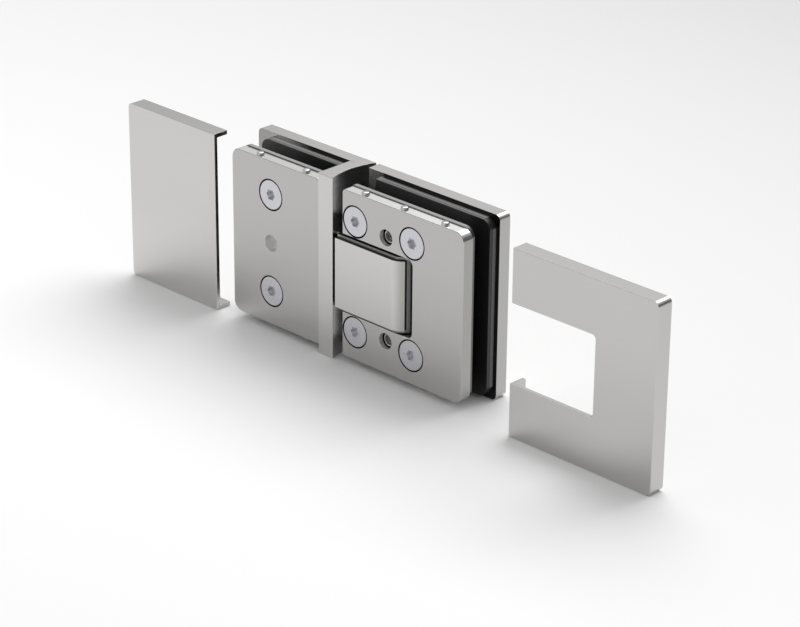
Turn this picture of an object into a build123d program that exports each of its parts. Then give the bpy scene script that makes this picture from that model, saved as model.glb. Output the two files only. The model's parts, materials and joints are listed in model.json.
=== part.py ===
from build123d import *
import os
from math import cos, radians, sin

# Main sizes, in millimetres. x runs along the hinge, y to the rear, z up.
# The origin is at the foot of the upright web between the two halves.
height = 90.0
middle = height / 2
depth = 29.2
front_y = -depth / 2
rear_y = depth / 2
axis_x = 38.0
far = 200.0
near = 0.01

# Fixed half: an angle bracket with a web and a back plate
bracket_left = -65.6
web_left = -4.6
web_setback = 1.3
web_blank = 10.0
sweep_radius = 35.6
back_thick = 7.0
back_corner = 2.6
back_y = rear_y - back_thick

# Door half
door_left = 7.4
door_right = 88.2
notch_half = 19.2
notch_wall = 54.4
notch_corner = 3.0

# Clamp plates in front of the glass
plate_thick = 5.8
plate_bottom = 3.6
plate_top = height - plate_bottom
plate_corner = 5.0
plate_near_corner = 1.8
fixed_plate_left = -62.8
door_plate_left = 10.3
door_plate_right = 85.5
fixed_plate_y = -12.2
door_plate_y = -12.4

# Gaskets on both sides of the glass
front_gasket_thick = 2.1
front_gasket_rise = 0.5
front_gasket_inset = 1.0
joint_gap = 0.2
rear_layer_thick = 2.0
rear_gasket_inset = 2.1
fixed_gasket_left = -59.3
door_gasket_left = 15.6
gasket_corner = 5.0
gasket_hole = 5.0
sleeve_bore = 4.2
sleeve_radius = 4.9
seat_y = back_y - 2 * rear_layer_thick

# Clamp screws, socket heads sunk flush in the plates
screw_radius = 4.0
screw_hole = 4.05
clear_hole = 4.3
head_radius = 7.2
head_thick = 3.4
sink_radius = 7.8
sink_depth = 3.5
screw_end_y = 12.6
screw_tap_y = 13.0
socket_across = 4.8
socket_depth = 2.2
fixed_screw_x = -36.9
fixed_screw_half = 24.4
door_screw_x = (18.5, 54.0)
door_screw_half = 27.4
blind_radius = 4.1
blind_depth = 4.8

# Set screws that lock the pin to the door half
set_half = 25.5
set_recess = 2.5
set_socket_across = 4.8
set_socket_depth = 2.0
set_edge = 0.9

# Snap studs in the top and bottom edges of the plates
stud_radius = 1.85
stud_stand = 1.3
stud_round = 0.8
stud_hole = 1.88
stud_depth = 4.0
stud_inset = 2.6
fixed_stud_x = (-46.1, -15.6)
door_stud_x = (22.7, 47.0, 71.8)

# Pivot block that reaches from the web into the door half
body_left = 7.8
body_half_depth = 12.8
body_end_radius = 14.6
body_half = 18.7
body_corner = 2.0
tongue_half_depth = 11.0
tongue_blank = 28.0
shell_left = 7.85
shell_half = 17.15
shell_end_radius = 16.3
shell_wrap = 44.0
shell_bend = 8.0
shell_spare = 1.0
chamber_half_depth = 7.2
chamber_half = 8.0
chamber_reach = 8.0
block_screw_half = 13.0
block_screw_radius = 3.0
block_screw_hole = 3.2
block_screw_tap = 3.05
block_screw_head = 5.5
block_screw_sink = 5.7
block_head_thick = 3.0
block_sink_depth = 3.4
block_screw_end = 20.0
block_tap_end = 21.0
block_socket_across = 4.0

# Pivot pin, bushes, washers and the fork spring on the pin's flats
pin_radius = 5.0
pin_half = 31.0
pin_square = 8.0
pin_square_half = 7.5
pin_flat_y = -4.4
pin_flat_low = 21.0
pin_flat_high = 30.0
pin_clear = 5.3
bush_bore = 5.05
bush_radius = 7.0
bush_hole = 7.02
bush_length = 8.0
washer_bore = 5.2
washer_radius = 9.0
washer_thick = 0.4
washer_gap = 0.05
spring_inner = 4.05
spring_thick = 1.6
spring_bend_x = 14.0
spring_tip_x = 44.0
spring_half = 7.0

# Yoke that holds the ends of the pin between the door plates
yoke_left = 7.6
yoke_right = 62.0
yoke_half = 34.0
yoke_corner = 4.0
yoke_jaw_half = 19.2
yoke_jaw_wall = 55.2
yoke_pin_bore = 5.02
yoke_gap = 0.3

# Press-on covers, drawn off their halves and standing beside them
cover_thick = 2.0
cover_depth = 8.3
cover_corner = 2.6
cover_inner_corner = 0.8
cover_gap = 0.1
home_gap = 0.2
fixed_cover_y = fixed_plate_y - cover_gap - cover_thick
door_cover_y = door_plate_y - cover_gap - cover_thick
fixed_cover_right = web_left - home_gap
fixed_cover_shift = -68.0
door_cover_shift = 108.5
cover_notch_half = 19.3
cover_notch_wall = 54.9
cover_notch_corner = 2.0

edge = 0.3
fine_edge = 0.2


# Building blocks
def panel(x0, x1, z0, z1, left=0.0, right=0.0):
    outline = Pos((x0 + x1) / 2, (z0 + z1) / 2) * Rectangle(x1 - x0, z1 - z0)
    corners = outline.vertices().sort_by(Axis.X)
    if left:
        outline = fillet(corners[:2], left)
        corners = outline.vertices().sort_by(Axis.X)
    if right:
        outline = fillet(corners[-2:], right)
    return outline


def slab(outline, y0, y1):
    return extrude(Plane.XZ.offset(-y1) * outline, amount=y1 - y0)


def bar(x, z, radius, y0, y1):
    return slab(Pos(x, z) * Circle(radius), y0, y1)


def prism(plan, z0, z1):
    return extrude(Pos(0, 0, z0) * plan, amount=z1 - z0)


def post(radius, z0, z1):
    return prism(Pos(axis_x, 0) * Circle(radius), z0, z1)


def levels(half):
    return (middle - half, middle + half)


def hexagon(across):
    return RegularPolygon(radius=across / 2, side_count=6, major_radius=False)


def eased(part, y, size=edge):
    return chamfer(part.edges().filter_by_position(Axis.Y, y - near, y + near), size)


def group(pieces):
    return Compound(children=list(pieces))


# Fixed half
def make_bracket():
    web_front = front_y + web_setback
    web = Pos((web_left + web_blank) / 2, (web_front + rear_y) / 2)
    plan = web * Rectangle(web_blank - web_left, rear_y - web_front)
    plan -= Pos(axis_x, 0) * Circle(sweep_radius)
    back_length = web_left - bracket_left
    back = Pos((bracket_left + web_left) / 2, (back_y + rear_y) / 2)
    plan += back * Rectangle(back_length, back_thick)
    bracket = prism(plan, 0, height)
    bracket &= slab(panel(bracket_left, far, 0, height, left=back_corner), -far, far)
    for z in levels(fixed_screw_half):
        bracket -= bar(fixed_screw_x, z, screw_hole, back_y, screw_tap_y)
    for z in levels(block_screw_half):
        hole = Plane.YZ.offset(web_left) * (Pos(0, z) * Circle(block_screw_hole))
        sink = Plane.YZ.offset(web_left) * (Pos(0, z) * Circle(block_screw_sink))
        bracket -= extrude(hole, amount=web_blank - web_left)
        bracket -= extrude(sink, amount=block_sink_depth)
    return eased(eased(bracket, web_front), rear_y)


def drill_for_screws(plate, positions, y):
    for x, z in positions:
        plate -= bar(x, z, clear_hole, y, y + plate_thick)
        plate -= bar(x, z, sink_radius, y, y + sink_depth)
    return plate


def drill_for_studs(plate, spots, y):
    for x in spots:
        for z in (plate_bottom, plate_top):
            plate -= Pos(x, y + stud_inset, z) * Cylinder(stud_hole, 2 * stud_depth)
    return plate


fixed_screws = [(fixed_screw_x, z) for z in levels(fixed_screw_half)]
door_screws = [(x, z) for x in door_screw_x for z in levels(door_screw_half)]


def make_fixed_clamp_plate():
    y = fixed_plate_y
    outline = panel(fixed_plate_left, web_left, plate_bottom, plate_top, left=plate_corner,
                    right=plate_near_corner)
    plate = eased(slab(outline, y, y + plate_thick), y)
    plate = drill_for_screws(plate, fixed_screws, y)
    plate -= bar(fixed_screw_x, middle, blind_radius, y, y + blind_depth)
    return drill_for_studs(plate, fixed_stud_x, y)


def make_fixed_front_gasket():
    y = fixed_plate_y + plate_thick
    outline = panel(fixed_plate_left + front_gasket_inset, web_left - joint_gap,
                    plate_bottom - front_gasket_rise, plate_top + front_gasket_rise, left=gasket_corner)
    gasket = slab(outline, y, y + front_gasket_thick)
    for x, z in fixed_screws:
        gasket -= bar(x, z, gasket_hole, y, y + front_gasket_thick)
    return gasket


def make_fixed_rear_layer(y):
    inset = rear_gasket_inset
    outline = panel(fixed_gasket_left, web_left - joint_gap, inset, height - inset, left=gasket_corner)
    layer = slab(outline, y, y + rear_layer_thick)
    for x, z in fixed_screws:
        layer -= bar(x, z, gasket_hole, y, y + rear_layer_thick)
    return layer


def make_clamp_screw(x, z, y):
    screw = bar(x, z, head_radius, y, y + head_thick)
    screw = eased(screw, y, fine_edge)
    screw += bar(x, z, screw_radius, y + head_thick, screw_end_y)
    screw -= slab(Pos(x, z) * hexagon(socket_across), y, y + socket_depth)
    return screw


def make_screw_sleeve(x, z):
    y = fixed_plate_y + plate_thick
    return bar(x, z, sleeve_radius, y, back_y) - bar(x, z, sleeve_bore, y, back_y)


def make_studs(spots, y):
    stud = Pos(0, 0, (stud_stand - stud_depth) / 2) * Cylinder(stud_radius, stud_stand + stud_depth)
    stud = fillet(stud.edges().sort_by(Axis.Z)[-1], stud_round)
    for x in spots:
        yield Pos(x, y + stud_inset, plate_top) * stud
        yield Pos(x, y + stud_inset, plate_bottom) * Rot(180, 0, 0) * stud


# Pivot block
def block_plan(left, half_depth, end_radius):
    bar_plan = Pos((left + axis_x) / 2, 0) * Rectangle(axis_x - left, 2 * half_depth)
    end_plan = Pos(axis_x, 0) * Circle(end_radius)
    end_plan &= Pos(axis_x, 0) * Rectangle(2 * end_radius, 2 * half_depth)
    return bar_plan + end_plan


def make_pivot_body():
    low, high = levels(body_half)
    body = prism(block_plan(body_left, body_half_depth, body_end_radius), low, high)
    tongue = Pos(body_left, 0) * Rectangle(tongue_blank, 2 * tongue_half_depth)
    tongue &= Pos(axis_x, 0) * Circle(sweep_radius)
    body += prism(tongue, low, high)
    rounded = panel(-far, axis_x + body_end_radius, low, high, right=body_corner)
    body &= slab(rounded, -far, far)
    chamber_end = axis_x + chamber_reach
    chamber = Pos(chamber_end / 2, 0) * Rectangle(chamber_end, 2 * chamber_half_depth)
    body -= prism(chamber, *levels(chamber_half))
    body -= post(pin_clear, low, high)
    body -= post(bush_hole, low, low + bush_length)
    body -= post(bush_hole, high - bush_length, high)
    for z in levels(block_screw_half):
        tapped = Plane.YZ * (Pos(0, z) * Circle(block_screw_tap))
        body -= extrude(tapped, amount=block_tap_end)
    return body


def make_pivot_shell(side):
    ring = block_plan(shell_left, depth / 2, shell_end_radius)
    spare_left = shell_left - shell_spare
    ring -= block_plan(spare_left, body_half_depth, body_end_radius)
    reach = 2 * shell_end_radius
    wrap_x = axis_x + reach * sin(radians(shell_wrap))
    wrap_y = side * reach * cos(radians(shell_wrap))
    ring &= make_face(Polyline((axis_x, 0), (wrap_x, wrap_y), (spare_left, wrap_y),
                               (spare_left, 0), close=True))
    shell = prism(ring, *levels(shell_half))
    uprights = shell.edges().filter_by(Axis.Z).filter_by_position(Axis.Y, side * depth / 2 - near,
                                                                  side * depth / 2 + near)
    return fillet(uprights.sort_by(Axis.X)[-1], shell_bend)


def make_block_screw(z):
    seat = web_left + block_sink_depth - block_head_thick
    place = Plane.YZ.offset(seat)
    screw = extrude(place * (Pos(0, z) * Circle(block_screw_head)), amount=block_head_thick)
    screw += extrude(place * (Pos(0, z) * Circle(block_screw_radius)), amount=block_screw_end - seat)
    screw -= extrude(place * (Pos(0, z) * hexagon(block_socket_across)), amount=socket_depth)
    return screw


def make_bush(side):
    end = middle + side * body_half
    start = end - side * bush_length
    low, high = min(start, end), max(start, end)
    return post(bush_radius, low, high) - post(bush_bore, low, high)


def make_washer(side):
    start = middle + side * (body_half + washer_gap)
    end = start + side * washer_thick
    low, high = min(start, end), max(start, end)
    return post(washer_radius, low, high) - post(washer_bore, low, high)


def make_fork_spring():
    outer = spring_inner + spring_thick
    length = spring_tip_x - spring_bend_x
    arms = Pos(spring_bend_x + length / 2, 0)
    plan = arms * Rectangle(length, 2 * outer) + Pos(spring_bend_x, 0) * Circle(outer)
    plan -= arms * Rectangle(length, 2 * spring_inner) + Pos(spring_bend_x, 0) * Circle(spring_inner)
    return prism(plan, *levels(spring_half))


def make_pin():
    low, high = levels(pin_half)
    pin = chamfer(post(pin_radius, low, high).edges(), edge)
    square = prism(Pos(axis_x, 0) * Rectangle(pin_square, pin_square), *levels(pin_square_half))
    pin -= post(2 * pin_radius, *levels(pin_square_half)) - square
    flat = Pos(axis_x, pin_flat_y - pin_radius) * Rectangle(2 * pin_radius, 2 * pin_radius)
    pin -= prism(flat, middle + pin_flat_low, middle + pin_flat_high)
    pin -= prism(flat, middle - pin_flat_high, middle - pin_flat_low)
    return pin


# Door half
def notch(wall, half, corner):
    return panel(-far, wall, *levels(half), right=corner)


def make_door_back_plate():
    outline = panel(door_left, door_right, 0, height, right=back_corner)
    outline -= notch(notch_wall, notch_half, notch_corner)
    plate = slab(outline, back_y, rear_y)
    for x, z in door_screws:
        plate -= bar(x, z, screw_hole, back_y, screw_tap_y)
    return eased(plate, rear_y)


def make_door_clamp_plate():
    y = door_plate_y
    outline = panel(door_plate_left, door_plate_right, plate_bottom, plate_top,
                    left=plate_near_corner, right=plate_corner)
    outline -= notch(notch_wall, notch_half, notch_corner)
    plate = eased(slab(outline, y, y + plate_thick), y)
    plate = drill_for_screws(plate, door_screws, y)
    for z in levels(set_half):
        plate -= bar(axis_x, z, screw_hole, y, y + plate_thick)
    return drill_for_studs(plate, door_stud_x, y)


def cut_for_yoke(layer):
    room = panel(-far, yoke_right + yoke_gap, *levels(yoke_half + yoke_gap), right=yoke_corner)
    return layer - slab(room, -far, far)


def make_door_front_gasket():
    y = door_plate_y + plate_thick
    outline = panel(door_plate_left + joint_gap, door_plate_right - front_gasket_inset,
                    plate_bottom - front_gasket_rise, plate_top + front_gasket_rise,
                    left=plate_near_corner, right=gasket_corner)
    return cut_for_yoke(slab(outline, y, y + front_gasket_thick))


def make_door_rear_layer(y):
    inset = rear_gasket_inset
    outline = panel(door_gasket_left, door_right - inset, inset, height - inset, right=gasket_corner)
    return cut_for_yoke(slab(outline, y, y + rear_layer_thick))


def make_yoke():
    y = door_plate_y + plate_thick
    outline = panel(yoke_left, yoke_right, *levels(yoke_half), right=yoke_corner)
    outline -= panel(-far, yoke_jaw_wall, *levels(yoke_jaw_half))
    yoke = slab(outline, y, back_y)
    yoke -= post(yoke_pin_bore, *levels(yoke_half))
    for x, z in door_screws:
        yoke -= bar(x, z, clear_hole, y, back_y)
    for z in levels(set_half):
        yoke -= bar(axis_x, z, screw_hole, y, 0)
    return yoke


def make_set_screw(z):
    y = door_plate_y + set_recess
    screw = bar(axis_x, z, screw_radius, y, pin_flat_y)
    screw = eased(screw, y, set_edge)
    return screw - slab(Pos(axis_x, z) * hexagon(set_socket_across), y, y + set_socket_depth)


# Press-on covers
def make_fixed_cover():
    x0 = bracket_left + fixed_cover_shift
    x1 = fixed_cover_right + fixed_cover_shift
    y0 = fixed_cover_y
    cover = slab(panel(x0, x1, 0, height, left=cover_corner), y0, y0 + cover_depth)
    inside = panel(x0 + cover_thick, far, cover_thick, height - cover_thick, left=cover_inner_corner)
    cover -= slab(inside, y0 + cover_thick, y0 + cover_depth)
    return eased(cover, y0, fine_edge)


def make_door_cover():
    x0 = door_left + door_cover_shift
    x1 = door_right + door_cover_shift
    y0 = door_cover_y
    cover = slab(panel(x0, x1, 0, height, right=cover_corner), y0, y0 + cover_depth)
    inside = panel(x0 + cover_thick, x1 - cover_thick, cover_thick, height - cover_thick,
                   right=cover_inner_corner)
    cover -= slab(inside, y0 + cover_thick, y0 + cover_depth)
    opening = notch(cover_notch_wall + door_cover_shift, cover_notch_half, cover_notch_corner)
    cover -= slab(opening, -far, far)
    return eased(cover, y0, fine_edge)


parts = {
    "fixed_bracket": make_bracket(),
    "fixed_clamp_plate": make_fixed_clamp_plate(),
    "fixed_front_gasket": make_fixed_front_gasket(),
    "fixed_rear_gasket": make_fixed_rear_layer(seat_y),
    "fixed_rear_shim": make_fixed_rear_layer(seat_y + rear_layer_thick),
    "fixed_clamp_screws": group(make_clamp_screw(x, z, fixed_plate_y) for x, z in fixed_screws),
    "fixed_screw_sleeves": group(make_screw_sleeve(x, z) for x, z in fixed_screws),
    "fixed_snap_studs": group(make_studs(fixed_stud_x, fixed_plate_y)),
    "fixed_cover": make_fixed_cover(),
    "pivot_body": make_pivot_body(),
    "pivot_front_shell": make_pivot_shell(-1),
    "pivot_rear_shell": make_pivot_shell(1),
    "pivot_body_screws": group(make_block_screw(z) for z in levels(block_screw_half)),
    "upper_pin_bush": make_bush(1),
    "lower_pin_bush": make_bush(-1),
    "upper_thrust_washer": make_washer(1),
    "lower_thrust_washer": make_washer(-1),
    "pin_fork_spring": make_fork_spring(),
    "hinge_pin": make_pin(),
    "pin_yoke": make_yoke(),
    "pin_set_screws": group(make_set_screw(z) for z in levels(set_half)),
    "door_back_plate": make_door_back_plate(),
    "door_clamp_plate": make_door_clamp_plate(),
    "door_front_gasket": make_door_front_gasket(),
    "door_rear_gasket": make_door_rear_layer(seat_y),
    "door_rear_shim": make_door_rear_layer(seat_y + rear_layer_thick),
    "door_clamp_screws": group(make_clamp_screw(x, z, door_plate_y) for x, z in door_screws),
    "door_snap_studs": group(make_studs(door_stud_x, door_plate_y)),
    "door_cover": make_door_cover(),
}

os.makedirs("parts", exist_ok=True)
for name, part in parts.items():
    export_step(part, f"parts/{name}.step")
    print(name, round(part.volume, 1))
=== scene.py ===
import bpy
import json
from math import cos, radians, sin
from mathutils import Matrix, Vector


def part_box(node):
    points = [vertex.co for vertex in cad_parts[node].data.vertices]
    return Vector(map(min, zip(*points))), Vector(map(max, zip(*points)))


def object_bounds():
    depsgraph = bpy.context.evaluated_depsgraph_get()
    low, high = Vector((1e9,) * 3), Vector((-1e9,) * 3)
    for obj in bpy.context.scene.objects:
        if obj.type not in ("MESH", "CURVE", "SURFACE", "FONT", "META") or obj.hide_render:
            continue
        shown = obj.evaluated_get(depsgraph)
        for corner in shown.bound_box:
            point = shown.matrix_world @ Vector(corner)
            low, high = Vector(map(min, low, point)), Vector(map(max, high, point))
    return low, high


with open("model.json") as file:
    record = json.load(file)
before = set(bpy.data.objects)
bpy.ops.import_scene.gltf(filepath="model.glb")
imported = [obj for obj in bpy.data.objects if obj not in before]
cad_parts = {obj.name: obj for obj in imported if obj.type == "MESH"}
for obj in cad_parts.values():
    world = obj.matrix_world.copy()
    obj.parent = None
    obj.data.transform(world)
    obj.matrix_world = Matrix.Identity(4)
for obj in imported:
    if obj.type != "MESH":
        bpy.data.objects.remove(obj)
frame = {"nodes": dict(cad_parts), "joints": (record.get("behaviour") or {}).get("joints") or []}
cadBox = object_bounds()
nodes = frame["nodes"]
print("frame loaded,", len(nodes), "nodes")


class Wire:  # a shader socket that can be used in sums
    def __init__(self, tree, socket):
        self.tree = tree
        self.socket = socket

    def node(self, kind, settings, inputs, output=0):
        made = self.tree.nodes.new(kind)
        for name, value in settings.items():
            setattr(made, name, value)
        for name, value in inputs.items():
            if isinstance(value, Wire):
                self.tree.links.new(value.socket, made.inputs[name])
            else:
                made.inputs[name].default_value = value
        return Wire(self.tree, made.outputs[output])

    def maths(self, operation, first, second=0):
        return self.node("ShaderNodeMath", {"operation": operation}, {0: first, 1: second})

    def __add__(self, other):
        return self.maths("ADD", self, other)

    __radd__ = __add__

    def __sub__(self, other):
        return self.maths("SUBTRACT", self, other)

    def __rsub__(self, other):
        return self.maths("SUBTRACT", other, self)

    def __mul__(self, other):
        return self.maths("MULTIPLY", self, other)

    __rmul__ = __mul__


def newMaterial(name):
    material = bpy.data.materials.new(name)
    material.use_nodes = True
    tree = material.node_tree
    shader = tree.nodes["Principled BSDF"]
    coords = tree.nodes.new("ShaderNodeTexCoord")
    return material, shader, Wire(tree, coords.outputs["Object"])


def plug(wire, shader, name):
    wire.tree.links.new(wire.socket, shader.inputs[name])


def paint(material, names):
    for name in names:
        slots = nodes[name].data.materials
        slots.clear()
        slots.append(material)


def grey(tone):
    return (tone, tone, tone)


def asColour(value):
    return value if isinstance(value, Wire) else (*value, 1)


mixSockets = {"under": 6, "over": 7, "result": 2}  # the colour sockets of a Mix node


def layOver(place, mask, under, over):
    inputs = {"Factor": mask, mixSockets["under"]: asColour(under), mixSockets["over"]: asColour(over)}
    return place.node("ShaderNodeMix", {"data_type": "RGBA"}, inputs, mixSockets["result"])


noiseMiddle = 0.5  # what a noise is on average


def noise(place, scale, detail, stretch=(1, 1, 1)):
    spread = place.node("ShaderNodeMapping", {}, {"Vector": place, "Scale": stretch})
    return place.node("ShaderNodeTexNoise", {}, {"Vector": spread, "Scale": scale, "Detail": detail})


placeDigits = 4  # places of screws are rounded to a tenth of a millimetre


# middles of the round pieces that stand at the corners of a node
def roundSpots(name, radius):
    low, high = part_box(name)
    acrossX = (low.x + radius, high.x - radius)
    acrossZ = (low.z + radius, high.z - radius)
    return sorted({(round(x, placeDigits), round(z, placeDigits)) for x in acrossX for z in acrossZ})


# what the zones of colour are measured from, in metres and degrees
swing = next(joint for joint in frame["joints"] if joint["name"] == "door_swing")
hinge = {
    "swingX": swing["pos_m"][0], "midHeight": cadBox[1].z / 2, "top": cadBox[1].z,
    "gapX": 0.0070,  # between the web and the door half
    "webCurve": 0.0356,  # radius of the web's hollow side
    "shellWrap": 44.0,  # how far the shell goes round the end of the block
    "headRadius": 0.0072, "sinkRadius": 0.0078, "screwRadius": 0.0040, "holeRadius": 0.0041,
}
hinge["screw"] = roundSpots("fixed_clamp_screws", hinge["headRadius"])
hinge["screw"] += roundSpots("door_clamp_screws", hinge["headRadius"])
hinge["hole"] = [(hinge["screw"][0][0], hinge["midHeight"])]  # blind hole between the fixed screws
hinge["hole"] += roundSpots("pin_set_screws", hinge["screwRadius"])


def topRise(name):  # how far a node reaches from mid height
    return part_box(name)[1].z - hinge["midHeight"]


def rightEnd(name):
    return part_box(name)[1].x


def length(first, second):
    return first.maths("SQRT", first * first + second * second)


# the ways to measure a zone, all in the object's own frame
def span(place, by):
    x, y, z = (place.node("ShaderNodeSeparateXYZ", {}, {"Vector": place}, k) for k in range(3))
    if by == "rise":  # up or down from mid height
        return z.maths("ABSOLUTE", z - hinge["midHeight"])
    if by == "sweep":  # out from the swing axis
        return length(x - hinge["swingX"], y)
    if by == "bend":  # round the block from the end of its shell
        turned = radians(hinge["shellWrap"])
        return cos(turned) * (x - hinge["swingX"]) - sin(turned) * y.maths("ABSOLUTE", y)
    if by in ("screw", "hole"):  # out from the nearest clamp screw, or the nearest small hole
        gaps = [length(x - spotX, z - spotZ) for spotX, spotZ in hinge[by]]
        nearest = gaps[0]
        for gap in gaps[1:]:
            nearest = x.maths("MINIMUM", nearest, gap)
        return nearest
    return {"x": x, "y": y, "z": z}[by]


def rising(place, by, start, end):
    return place.node("ShaderNodeMapRange", {"interpolation_type": "SMOOTHSTEP"},
                      {"Value": span(place, by), "From Min": start, "From Max": end})


# how close to a face its own zone fades out
fades = {"outer": 0.00004, "fine": 0.00002, "rim": 0.00006, "wide": 0.0001}


# limits that keep a zone to what lies at a face or past it
def beyond(by, face, fade=fades["outer"]):
    return by, face - 2 * fade, face - fade


# limits that keep a zone to what lies at a face or short of it
def within(by, face, fade=fades["fine"]):
    return by, face + 2 * fade, face + fade


# lays each zone of a look over its plain colour and roughness
def layZones(place, colour, roughness, zones):
    for zone in zones:
        mask = rising(place, *zone["limits"][0])
        for limit in zone["limits"][1:]:
            mask = mask * rising(place, *limit)
        over = zone["colour"]
        if "along" in zone:  # a zone whose own colour changes on the way
            over = layOver(place, rising(place, *zone["along"]), over, zone["farColour"])
        colour = layOver(place, mask, colour, over)
        if "roughness" in zone:
            roughness = roughness + mask * (zone["roughness"] - roughness)
    return colour, roughness


edgeSamples = 6


def softEdge(place, height, depth, radius):
    rounded = place.node("ShaderNodeBevel", {"samples": edgeSamples}, {"Radius": radius})
    return place.node("ShaderNodeBump", {}, {"Height": height, "Distance": depth, "Normal": rounded})


# makes a look's material, with a fine grain over soft clouds, and paints its nodes
def dress(name, look):
    material, shader, place = newMaterial(name)
    grain = noise(place, look["grainScale"], look["grainDetail"], look["grainStretch"])
    cloud = noise(place, look["cloudScale"], look["cloudDetail"])
    mix = look["grainShare"] * grain + (1 - look["grainShare"]) * cloud
    colour = layOver(place, mix, look["dark"], look["light"])
    roughness = look["roughness"] + look["roughnessSpread"] * (grain - noiseMiddle)
    colour, roughness = layZones(place, colour, roughness, look["zones"])
    plug(colour, shader, "Base Color")
    plug(roughness, shader, "Roughness")
    plug(softEdge(place, grain, look["grainDepth"], look["edge"]), shader, "Normal")
    shader.inputs["Metallic"].default_value = look["metallic"]
    shader.inputs["IOR"].default_value = look["gloss"]
    paint(material, look["nodes"])


# what all the metals share
metal = {
    "metallic": 1.0, "gloss": 1.5, "grainShare": 0.7, "grainDetail": 4, "cloudDetail": 3,
    "grainStretch": (1, 1, 1), "edge": 0.0002, "zones": [],
}

# satin steel of the fixed cover, the bracket and the door's back plate
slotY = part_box("door_back_plate")[0].y
slotFace = [beyond("y", slotY, fades["wide"]), within("y", slotY, fades["wide"])]
satinSteel = {
    **metal, "nodes": ["fixed_cover", "fixed_bracket", "door_back_plate"],
    "dark": (0.555, 0.545, 0.535), "light": (0.595, 0.585, 0.575),
    "roughness": 0.17, "roughnessSpread": 0.05,
    "grainScale": 900, "grainStretch": (0.03, 1, 1), "cloudScale": 18, "grainDepth": 0.000001,
    "zones": [
        {"limits": [("z", 0.055, 0)], "colour": (0.64, 0.63, 0.62)},  # painted light: a shade lighter low down, against the floor's shadow mirrored there
        {"limits": [within("sweep", hinge["webCurve"]), within("x", hinge["gapX"])],
         "colour": grey(0.45), "roughness": 0.25},  # painted shade on the web's curve, which faces into the gap
        {"limits": [beyond("z", hinge["top"])], "colour": (0.445, 0.44, 0.435),
         "along": ("x", -0.13, 0.02), "farColour": (0.56, 0.55, 0.54)},  # painted light on the top faces, darker on the left and paler to the right
        {"limits": [beyond("x", rightEnd("door_back_plate"))], "colour": (0.45, 0.445, 0.44)},  # painted shade on the right end face
        {"limits": [("z", 0.0035, 0.0025), ("x", -0.068, -0.070), ("y", -0.0140, -0.0134)],
         "colour": (0.47, 0.465, 0.46)},  # painted shade on the lower lip of the fixed cover
        {"limits": [*slotFace, ("x", -0.055, -0.051), ("x", 0, -0.004)], "colour": grey(0.55),
         "along": ("x", -0.050, -0.028), "farColour": grey(0.04),
         "roughness": 0.3},  # painted shade on the slot face behind the fixed gasket, darkest towards the web
        {"limits": [*slotFace, ("x", 0.015, 0.018)], "colour": grey(0.04),
         "roughness": 0.3},  # and painted shade behind the door's
    ],
}
dress("satinSteel", satinSteel)

# the door cover: the same steel with painted shade that makes it a shade darker, and crisper edges
shadedCoverSteel = {
    **satinSteel, "nodes": ["door_cover"], "edge": 0.00004,
    "dark": (0.51, 0.50, 0.49), "light": (0.54, 0.53, 0.52),
    "zones": [
        # painted light: a shade lighter low down
        {"limits": [("z", 0.055, 0)], "colour": (0.565, 0.555, 0.545)},
        # painted light on the top face
        {"limits": [beyond("z", hinge["top"])], "colour": (0.575, 0.565, 0.555)},
        # painted light on the right end face
        {"limits": [beyond("x", rightEnd("door_cover"))], "colour": (0.545, 0.535, 0.53)},
    ],
}
dress("shadedCoverSteel", shadedCoverSteel)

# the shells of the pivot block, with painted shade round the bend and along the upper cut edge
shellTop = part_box("pivot_front_shell")[1].z
shellSteel = {
    **satinSteel, "nodes": ["pivot_front_shell", "pivot_rear_shell"], "edge": 0.00005,
    "zones": [
        # painted shade round the bend
        {"limits": [("x", 0.0435, 0.0495)], "colour": (0.36, 0.36, 0.345)},
        # painted shade on the upper cut edge
        {"limits": [beyond("z", shellTop, fades["fine"])], "colour": grey(0.02)},
    ],
}
dress("shellSteel", shellSteel)

# the clamp plates are ground finer and shine a little more
groundSteel = {
    **satinSteel, "nodes": ["fixed_clamp_plate", "door_clamp_plate"],
    "dark": (0.447, 0.438, 0.431), "light": (0.480, 0.470, 0.462),
    "roughness": 0.16, "grainScale": 1200, "cloudScale": 22,
    "zones": [
        {"limits": [("z", 0.060, 0)], "colour": (0.53, 0.52, 0.51)},  # painted light: a shade lighter low down, against the floor's shadow mirrored there
        {"limits": [beyond("rise", topRise("door_clamp_plate"))], "colour": (0.70, 0.70, 0.69),
         "along": ("x", -0.02, 0.085), "farColour": (0.95, 0.95, 0.945)},  # painted highlight on the top faces, brightest to the right
        # painted shade on the right end face
        {"limits": [beyond("x", rightEnd("door_clamp_plate"))], "colour": (0.37, 0.365, 0.36)},
        {"limits": [within("screw", hinge["sinkRadius"])], "colour": grey(0.03)},  # painted shade in the screw sinks
        # painted light on the walls of the small holes, which are rougher too
        {"limits": [within("hole", hinge["holeRadius"])], "colour": (0.85, 0.84, 0.83), "roughness": 0.5},
        {"limits": [within("hole", hinge["holeRadius"]), ("y", -0.0101, -0.0098), ("x", 0, 0.01)],
         "colour": grey(0.01)},  # painted shade round the set screws
    ],
}
dress("groundSteel", groundSteel)

# zinc plated screws, a little blue
screwZinc = {
    **metal, "nodes": ["fixed_clamp_screws", "door_clamp_screws", "pivot_body_screws"],
    "dark": (0.53, 0.53, 0.565), "light": (0.64, 0.64, 0.675),
    "roughness": 0.30, "roughnessSpread": 0.12,
    "grainScale": 700, "cloudScale": 60, "grainDepth": 0.000004,
    "zones": [
        {"limits": [beyond("screw", hinge["headRadius"], fades["rim"])], "colour": grey(0.03)},  # painted shade round the rim of each head
        {"limits": [("screw", 0.00255, 0.00245)], "colour": (0.80, 0.80, 0.83)},  # painted light in the key socket
    ],
}
dress("screwZinc", screwZinc)

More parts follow.
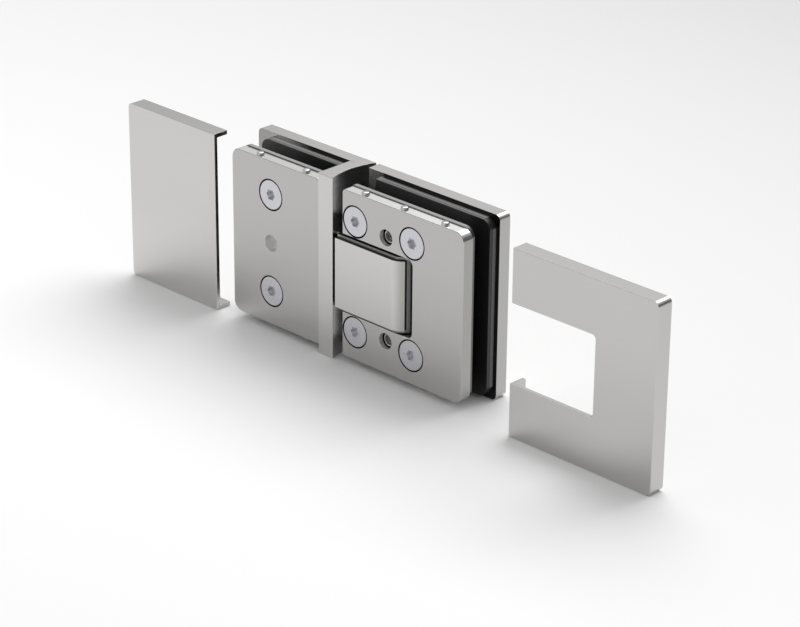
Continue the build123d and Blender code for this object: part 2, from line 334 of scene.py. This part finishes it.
# darker set screws
setScrewSteel = {
    **screwZinc, "nodes": ["pin_set_screws"],
    "dark": (0.46, 0.46, 0.47), "light": (0.60, 0.60, 0.61), "roughness": 0.32,
    "zones": [
        {"limits": [("hole", 0.0031, 0.0034)], "colour": grey(0.02)},  # painted shade in the thread
        {"limits": [("hole", 0.0026, 0.0022)], "colour": (0.27, 0.27, 0.275)},  # painted shade in the key socket
    ],
}
dress("setScrewSteel", setScrewSteel)

# polished studs and pin
polishedSteel = {
    **metal, "nodes": ["fixed_snap_studs", "door_snap_studs", "hinge_pin"],
    "dark": (0.46, 0.46, 0.455), "light": (0.54, 0.54, 0.535),
    "roughness": 0.10, "roughnessSpread": 0.05,
    "grainScale": 1500, "cloudScale": 80, "grainDepth": 0.000001, "edge": 0.0001,
}
dress("polishedSteel", polishedSteel)

# grey cast body of the pivot block
castBody = {
    **metal, "nodes": ["pivot_body"],
    "dark": grey(0.16), "light": grey(0.24), "metallic": 0.9,
    "roughness": 0.42, "roughnessSpread": 0.15,
    "grainScale": 1600, "cloudScale": 120, "grainDepth": 0.00002, "edge": 0.0003,
    "zones": [
        {"limits": [("bend", 0.0010, 0.0008), ("z", 0.0625, 0.0622), ("z", 0.0276, 0.0279)],
         "colour": grey(0.01)},  # painted shadow of the shell on the body
        {"limits": [("z", 0.0622, 0.0624)], "colour": grey(0.36)},  # painted light above the shell
        {"limits": [("z", 0.0633, 0.0637)], "colour": grey(0.02)},  # painted shade beside the notch
        # painted shade round the end, past the shell
        {"limits": [("bend", 0.0024, 0.0029)], "colour": grey(0.02)},
    ],
}
dress("castBody", castBody)

# black yoke round the pin
blackYoke = {
    **castBody, "nodes": ["pin_yoke"],
    "dark": grey(0.010), "light": grey(0.022), "metallic": 0.0, "roughness": 0.55, "zones": [],
}
dress("blackYoke", blackYoke)

# blued fork spring
springSteel = {
    **metal, "nodes": ["pin_fork_spring"],
    "dark": (0.20, 0.21, 0.26), "light": (0.34, 0.35, 0.40),
    "roughness": 0.30, "roughnessSpread": 0.10,
    "grainScale": 900, "grainStretch": (0.05, 1, 1), "cloudScale": 90, "grainDepth": 0.000004,
}
dress("springSteel", springSteel)

# bronze bushes
bushBronze = {
    **metal, "nodes": ["upper_pin_bush", "lower_pin_bush"],
    "dark": (0.42, 0.27, 0.11), "light": (0.60, 0.42, 0.20),
    "roughness": 0.45, "roughnessSpread": 0.15,
    "grainScale": 2200, "cloudScale": 150, "grainDepth": 0.00002,
}
dress("bushBronze", bushBronze)
print("metals painted")

# what the rubber and the nylon share
sheet = {
    "metallic": 0.0, "grainShare": 0.6, "grainDetail": 5, "cloudDetail": 2,
    "grainStretch": (1, 1, 1), "grainDepth": 0.00001, "edge": 0.0002, "zones": [],
}

# black gasket sheets with a painted sheen on their cut edges
gasketRubber = {
    **sheet, "nodes": ["fixed_rear_gasket", "door_rear_gasket"],
    "dark": grey(0.006), "light": grey(0.012), "gloss": 1.45,
    "roughness": 0.45, "roughnessSpread": 0.12,
    "grainScale": 2500, "cloudScale": 90,
    "zones": [
        {"limits": [("rise", 0.030, 0.037), ("x", -0.012, -0.018)], "colour": grey(0.09),
         "along": ("x", -0.055, -0.020), "farColour": grey(0.018)},  # painted light, paler towards the opening
        # painted light on the door gasket's face
        {"limits": [("rise", 0.030, 0.037), ("x", 0.013, 0.017), ("x", 0.080, 0.070)], "colour": grey(0.045)},
        {"limits": [beyond("rise", topRise("door_rear_gasket"))], "colour": grey(0.095)},  # painted sheen on the cut edges
        # painted light on the right end face
        {"limits": [beyond("x", rightEnd("door_rear_gasket"))], "colour": grey(0.043)},
    ],
}
dress("gasketRubber", gasketRubber)

# the front gaskets, with painted light on the margin past the clamp plates, on their cut edges and on their
# right ends
frontRubber = {
    **gasketRubber, "nodes": ["fixed_front_gasket", "door_front_gasket"],
    "zones": [
        {"limits": [beyond("rise", topRise("door_clamp_plate"))], "colour": grey(0.15)},
        {"limits": [beyond("rise", topRise("door_front_gasket"))], "colour": (0.29, 0.29, 0.285)},
        {"limits": [beyond("x", rightEnd("door_front_gasket"))], "colour": grey(0.16)},
    ],
}
dress("frontRubber", frontRubber)

# packing sheets behind the rear gaskets, with painted light that makes their cut edges and right ends grey
shimRubber = {
    **gasketRubber, "nodes": ["fixed_rear_shim", "door_rear_shim"],
    "dark": grey(0.008), "light": grey(0.014),
    "zones": [
        {"limits": [beyond("rise", topRise("door_rear_shim"))], "colour": grey(0.28)},
        {"limits": [beyond("x", rightEnd("door_rear_shim"))], "colour": grey(0.17)},
    ],
}
dress("shimRubber", shimRubber)

# white washers and screw sleeves
nylon = {
    **sheet, "nodes": ["upper_thrust_washer", "lower_thrust_washer", "fixed_screw_sleeves"],
    "dark": (0.72, 0.72, 0.69), "light": (0.82, 0.82, 0.80), "gloss": 1.53,
    "roughness": 0.45, "roughnessSpread": 0.10,
    "grainScale": 900, "cloudScale": 60,
}
dress("nylon", nylon)
print("sheets and plastics painted")

# pale floor with painted shade that greys it a little towards the back
floorLook = {
    "size": 40.0, "drop": 0.00005, "near": grey(0.97), "far": grey(0.57),
    "nearY": -0.14, "farY": 0.60, "roughness": 0.9,
    "mottle": 0.01, "mottleScale": 30, "mottleDetail": 3,
    "zones": [{"limits": [("y", 0.75, 2.6)], "colour": grey(0.97)}],  # the painted shade stops, pale again far behind
}
bpy.ops.object.select_all(action="DESELECT")
floorZ = cadBox[0].z - floorLook["drop"]
bpy.ops.mesh.primitive_plane_add(size=floorLook["size"], location=(0, 0, floorZ))
floor = bpy.context.object
floor.name = "paleFloor"
floorMaterial, floorShader, floorPlace = newMaterial("paleFloor")
fade = floorPlace.node("ShaderNodeMapRange", {}, {
    "Value": span(floorPlace, "y"), "From Min": floorLook["nearY"], "From Max": floorLook["farY"]})
mottle = noise(floorPlace, floorLook["mottleScale"], floorLook["mottleDetail"])
fade = fade + floorLook["mottle"] * (mottle - noiseMiddle)
floorTint = layOver(floorPlace, fade, floorLook["near"], floorLook["far"])
floorTint, floorRoughness = layZones(floorPlace, floorTint, floorLook["roughness"], floorLook["zones"])
plug(floorTint, floorShader, "Base Color")
floorShader.inputs["Roughness"].default_value = floorRoughness
floor.data.materials.append(floorMaterial)

# soft studio light from behind
softbox = {"place": (-0.2, 0.75, 1.4), "aim": (0.03, 0, 0.03), "size": (1.6, 1.2), "power": 18.6}
lampData = bpy.data.lights.new("backSoftbox", "AREA")
lampData.shape = "RECTANGLE"
lampData.size, lampData.size_y = softbox["size"]
lampData.energy = softbox["power"]
lamp = bpy.data.objects.new("backSoftbox", lampData)
bpy.context.scene.collection.objects.link(lamp)
lamp.location = softbox["place"]
lamp.rotation_euler = (Vector(softbox["aim"]) - lamp.location).to_track_quat("-Z", "Y").to_euler()

# white surroundings, brighter where they are seen or mirrored, and mirrored dim low on the right
surround = {
    "fill": 0.60, "seen": 0.80, "dim": 0.20, "colour": (1.0, 1.0, 1.0),
    "dimSide": ("x", 0.30, 0.60), "dimHeight": ("z", 0.70, 0.35),
}
world = bpy.data.worlds.new("studio")
bpy.context.scene.world = world
world.use_nodes = True
backdrop = world.node_tree.nodes["Background"]
path = world.node_tree.nodes.new("ShaderNodeLightPath")
rayKinds = ("Is Camera Ray", "Is Glossy Ray")
cameraRay, mirrorRay = (Wire(world.node_tree, path.outputs[kind]) for kind in rayKinds)
ways = world.node_tree.nodes.new("ShaderNodeTexCoord")
outward = Wire(world.node_tree, ways.outputs["Generated"])
shade = rising(outward, *surround["dimSide"]) * rising(outward, *surround["dimHeight"])
mirrored = surround["seen"] - (surround["seen"] - surround["dim"]) * shade
plain = surround["fill"] + (surround["seen"] - surround["fill"]) * cameraRay
plug(plain + mirrorRay * (mirrored - plain), backdrop, "Strength")
backdrop.inputs["Color"].default_value = asColour(surround["colour"])
print("floor and lights ready")

# camera at the viewing angle, with the slight roll that it was held at
view = {
    "target": (0.04928, -0.0146, 0.037756), "azimuth": 43.956, "elevation": 24.470,
    "roll": 0.526, "distance": 1.324236, "lens": 132.94, "sensor": 36.0,
}


def cameraTurn(azimuth, elevation, roll):
    a, e, r = radians(azimuth), radians(elevation), radians(roll)
    back = Vector((sin(a) * cos(e), -cos(a) * cos(e), sin(e)))
    right = Vector((cos(a), sin(a), 0))
    up = back.cross(right)
    tilted = (right * cos(r) + up * sin(r), up * cos(r) - right * sin(r), back)
    return Matrix(tilted).transposed()


cameraData = bpy.data.cameras.new("camera")
cameraData.lens = view["lens"]
cameraData.sensor_width = view["sensor"]
camera = bpy.data.objects.new("camera", cameraData)
bpy.context.scene.collection.objects.link(camera)
turn = cameraTurn(view["azimuth"], view["elevation"], view["roll"])
camera.matrix_world = turn.to_4x4()
camera.location = Vector(view["target"]) + turn.col[2] * view["distance"]
bpy.context.scene.camera = camera
bpy.context.scene.view_settings.view_transform = "Standard"
print("camera ready")
